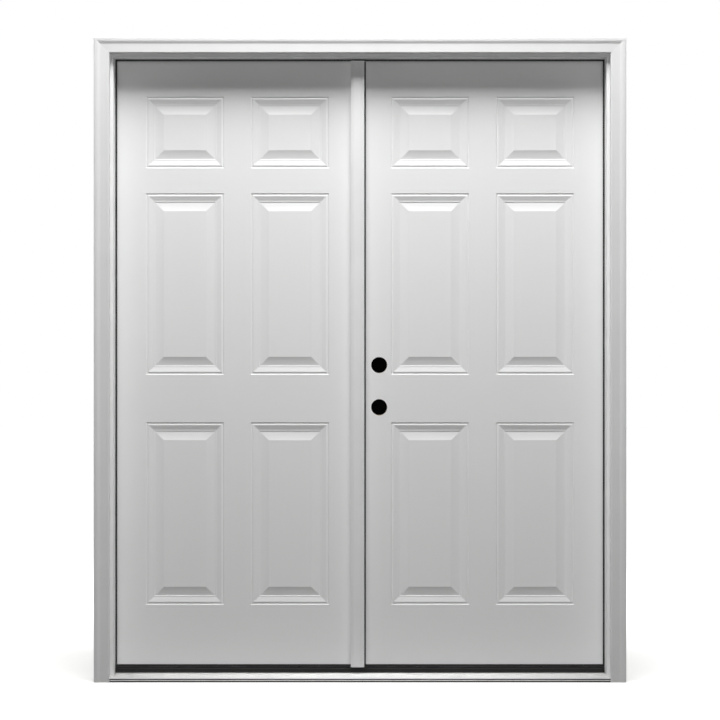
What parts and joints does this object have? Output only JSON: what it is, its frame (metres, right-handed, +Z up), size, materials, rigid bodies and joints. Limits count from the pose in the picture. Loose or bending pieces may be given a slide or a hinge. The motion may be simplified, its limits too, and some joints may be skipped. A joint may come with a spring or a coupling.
{
  "type": "prehung double front door",
  "caption": "Inswing double entry door of six-panel steel leaves, hung in a primed frame with brickmould, weatherstrip, astragal and an adjustable sill; bored for a lock.",
  "frame": {"origin": "middle of the underside of the sill, in the plane of the jambs' outdoor edges", "axes": "+Z up, +Y towards indoors so that the outdoor face looks along -Y, +X to the right seen from outdoors"},
  "size_m": [1.7398, 0.1602, 2.1082],
  "materials": {
    "hinge_steel": "satin plated",
    "screw_steel": "satin plated",
    "adjuster_brass": "plain turned",
    "strike_steel": "satin plated",
    "bolt_steel": "zinc plated",
    "painted_mould": "white primer on timber",
    "primed_jamb": "white primer on timber",
    "black_seal": "matt skin on foam",
    "sill_composite": "matt",
    "mill_aluminium": "mill finish",
    "cap_composite": "matt",
    "primed_steel": "smooth white primer",
    "foam": "rigid foam",
    "sweep_vinyl": "matt",
    "primed_astragal": "white primer on timber",
    "plug_vinyl": "matt",
    "bare_timber": "bare"
  },
  "bodies": {
    "frame": {"left_jamb": "primed_jamb", "right_jamb": "primed_jamb", "head_jamb": "primed_jamb", "left_brickmould": "painted_mould", "right_brickmould": "painted_mould", "head_brickmould": "painted_mould", "left_weatherstrip": "black_seal", "right_weatherstrip": "black_seal", "head_weatherstrip": "black_seal", "sill_substrate": "sill_composite", "sill_deck": "mill_aluminium", "left_bottom_hinge_jamb_leaf": "hinge_steel", "left_middle_hinge_jamb_leaf": "hinge_steel", "left_top_hinge_jamb_leaf": "hinge_steel", "right_bottom_hinge_jamb_leaf": "hinge_steel", "right_middle_hinge_jamb_leaf": "hinge_steel", "right_top_hinge_jamb_leaf": "hinge_steel", "hinge_pins": "hinge_steel", "frame_hinge_screws": "screw_steel", "head_bolt_strike": "strike_steel"},
    "passive_leaf": {"passive_exterior_skin": "primed_steel", "passive_interior_skin": "primed_steel", "passive_hinge_stile": "bare_timber", "passive_lock_stile": "bare_timber", "passive_top_rail": "bare_timber", "passive_bottom_rail": "bare_timber", "passive_foam_core": "foam", "passive_sweep": "sweep_vinyl", "left_bottom_hinge_door_leaf": "hinge_steel", "left_middle_hinge_door_leaf": "hinge_steel", "left_top_hinge_door_leaf": "hinge_steel", "passive_hinge_screws": "screw_steel", "astragal_body": "primed_astragal", "astragal_cap": "primed_astragal", "astragal_seal": "black_seal", "astragal_top_plug": "plug_vinyl", "astragal_bottom_plug": "plug_vinyl", "astragal_screws": "screw_steel", "latch_strike": "strike_steel", "deadbolt_strike": "strike_steel"},
    "active_leaf": {"active_exterior_skin": "primed_steel", "active_interior_skin": "primed_steel", "active_hinge_stile": "bare_timber", "active_lock_stile": "bare_timber", "active_top_rail": "bare_timber", "active_bottom_rail": "bare_timber", "active_foam_core": "foam", "active_lock_block": "bare_timber", "active_sweep": "sweep_vinyl", "right_bottom_hinge_door_leaf": "hinge_steel", "right_middle_hinge_door_leaf": "hinge_steel", "right_top_hinge_door_leaf": "hinge_steel", "active_hinge_screws": "screw_steel"},
    "threshold_cap": {"threshold_cap": "cap_composite"},
    "top_bolt": {"top_flush_bolt": "bolt_steel"},
    "bottom_bolt": {"bottom_flush_bolt": "bolt_steel"},
    "adjuster_1": {"threshold_screw_1": "adjuster_brass"},
    "adjuster_2": {"threshold_screw_2": "adjuster_brass"},
    "adjuster_3": {"threshold_screw_3": "adjuster_brass"},
    "adjuster_4": {"threshold_screw_4": "adjuster_brass"}
  },
  "joints": [
    {"name": "active_leaf_swing", "type": "hinge", "parent": "frame", "child": "active_leaf", "pos_m": [0.81756, 0.1224, 1.05], "axis": [0, 0, -1], "range_deg": [0, 170]},
    {"name": "passive_leaf_swing", "type": "hinge", "parent": "frame", "child": "passive_leaf", "pos_m": [-0.81756, 0.1224, 1.05], "axis": [0, 0, 1], "range_deg": [0, 170]},
    {"name": "top_bolt_slide", "type": "slide", "parent": "passive_leaf", "child": "top_bolt", "axis": [0, 0, 1], "range_m": [0, 0.015]},
    {"name": "bottom_bolt_slide", "type": "slide", "parent": "passive_leaf", "child": "bottom_bolt", "axis": [0, 0, -1], "range_m": [0, 0.015]},
    {"name": "threshold_lift", "type": "slide", "parent": "frame", "child": "threshold_cap", "axis": [0, 0, 1], "range_m": [0, 0.003]},
    {"name": "adjuster_1_turn", "type": "hinge", "parent": "threshold_cap", "child": "adjuster_1", "pos_m": [-0.59938, 0.0855, 0.03], "axis": [0, 0, 1], "range_deg": [0, 720]},
    {"name": "adjuster_2_turn", "type": "hinge", "parent": "threshold_cap", "child": "adjuster_2", "pos_m": [-0.19979, 0.0855, 0.03], "axis": [0, 0, 1], "range_deg": [0, 720]},
    {"name": "adjuster_3_turn", "type": "hinge", "parent": "threshold_cap", "child": "adjuster_3", "pos_m": [0.19979, 0.0855, 0.03], "axis": [0, 0, 1], "range_deg": [0, 720]},
    {"name": "adjuster_4_turn", "type": "hinge", "parent": "threshold_cap", "child": "adjuster_4", "pos_m": [0.59938, 0.0855, 0.03], "axis": [0, 0, 1], "range_deg": [0, 720]}
  ],
  "couplings": [
    {"joint": "adjuster_1_turn", "follows": "threshold_lift", "rad_per_m": 4188.8},
    {"joint": "adjuster_2_turn", "follows": "threshold_lift", "rad_per_m": 4188.8},
    {"joint": "adjuster_3_turn", "follows": "threshold_lift", "rad_per_m": 4188.8},
    {"joint": "adjuster_4_turn", "follows": "threshold_lift", "rad_per_m": 4188.8}
  ]
}
